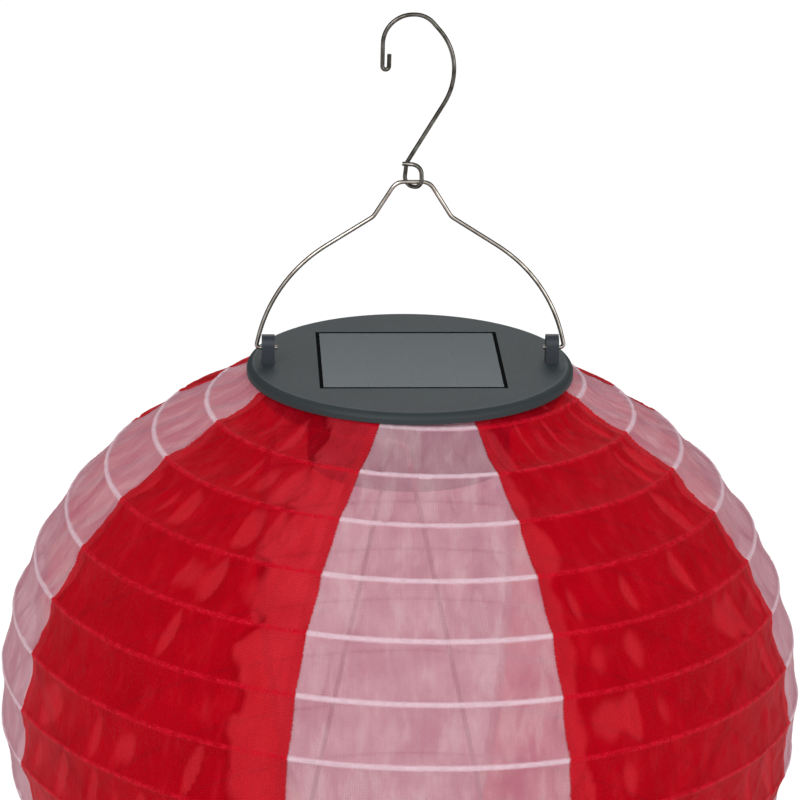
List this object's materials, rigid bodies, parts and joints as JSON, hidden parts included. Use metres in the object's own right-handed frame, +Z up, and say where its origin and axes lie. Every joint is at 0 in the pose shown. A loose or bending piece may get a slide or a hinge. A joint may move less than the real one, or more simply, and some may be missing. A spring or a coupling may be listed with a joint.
{
  "type": "hanging solar cloth lantern",
  "caption": "Round hanging solar lantern: red and white cloth gores over a spiral wire rib, a solar lid, a wire bail and a wire hook.",
  "frame": {"origin": "the inner crest of the hanging hook, where it rests on a branch, rod or nail", "axes": "+Z up along the shade's axis, -Y towards the front, +X to the right, along the bail's pivots"},
  "size_m": [0.3004, 0.3004, 0.3931],
  "materials": {
    "steel_wire": "polished drawn wire",
    "rib_wire": "white coated wire",
    "white_cloth": "sheer white nylon, lit pink by the red cloth",
    "red_cloth": "sheer red nylon",
    "lid_plastic": "moulded, fine texture",
    "ear_plastic": "moulded",
    "housing_plastic": "moulded",
    "panel_resin": "clear cast resin",
    "cell_silicon": "silicon with fine silver lines",
    "board_laminate": "glass-fibre laminate",
    "pad_foam": "adhesive foam",
    "screw_steel": "zinc plated",
    "battery_sleeve": "plain shrink sleeve",
    "contact_steel": "nickel plated",
    "led_resin": "clear epoxy",
    "lens_plastic": "frosted",
    "switch_plastic": "moulded",
    "lead_red": "PVC sleeve",
    "lead_black": "PVC sleeve"
  },
  "bodies": {
    "hook": {"hook": "steel_wire"},
    "bail": {"bail": "steel_wire"},
    "lamp_head": {"lid": "lid_plastic", "ear_left": "ear_plastic", "ear_right": "ear_plastic", "panel_cover": "panel_resin", "solar_cells": "cell_silicon", "panel_backing": "board_laminate", "panel_pad": "pad_foam", "lamp_housing": "housing_plastic", "housing_screws": "screw_steel", "door_screw": "screw_steel", "board_screws": "screw_steel", "battery_door": "housing_plastic", "battery": "battery_sleeve", "contact_plate": "contact_steel", "contact_spring": "contact_steel", "circuit_board": "board_laminate", "led": "led_resin", "led_lens": "lens_plastic", "switch_body": "switch_plastic", "lead_red": "lead_red", "lead_black": "lead_black"},
    "switch": {"switch_knob": "switch_plastic"},
    "shade": {"collar": "housing_plastic", "spiral_rib": "rib_wire", "stretcher": "steel_wire", "gore_white_1": "white_cloth", "gore_white_2": "white_cloth", "gore_white_3": "white_cloth", "gore_white_4": "white_cloth", "gore_red_1": "red_cloth", "gore_red_2": "red_cloth", "gore_red_3": "red_cloth", "gore_red_4": "red_cloth"},
    "hoop": {"bottom_hoop": "rib_wire", "bottom_hem": "red_cloth"}
  },
  "joints": [
    {"name": "bail_swing", "type": "hinge", "parent": "hook", "child": "bail", "pos_m": [0, 0, -0.0621], "axis": [1, 0, 0], "range_deg": [-30, 30]},
    {"name": "head_tilt", "type": "hinge", "parent": "bail", "child": "lamp_head", "pos_m": [0, 0, -0.1261], "axis": [1, 0, 0], "range_deg": [-80, 80]},
    {"name": "shade_twist", "type": "hinge", "parent": "lamp_head", "child": "shade", "pos_m": [0, 0, -0.1386], "axis": [0, 0, 1], "range_deg": [0, 20]},
    {"name": "shade_fold", "type": "slide", "parent": "shade", "child": "hoop", "axis": [0, 0, 1], "range_m": [0, 0.222], "deforming": ["gore_white_1", "gore_white_2", "gore_white_3", "gore_white_4", "gore_red_1", "gore_red_2", "gore_red_3", "gore_red_4", "spiral_rib"]},
    {"name": "switch_slide", "type": "slide", "parent": "lamp_head", "child": "switch", "axis": [1, 0, 0], "range_m": [0, 0.0032]}
  ]
}
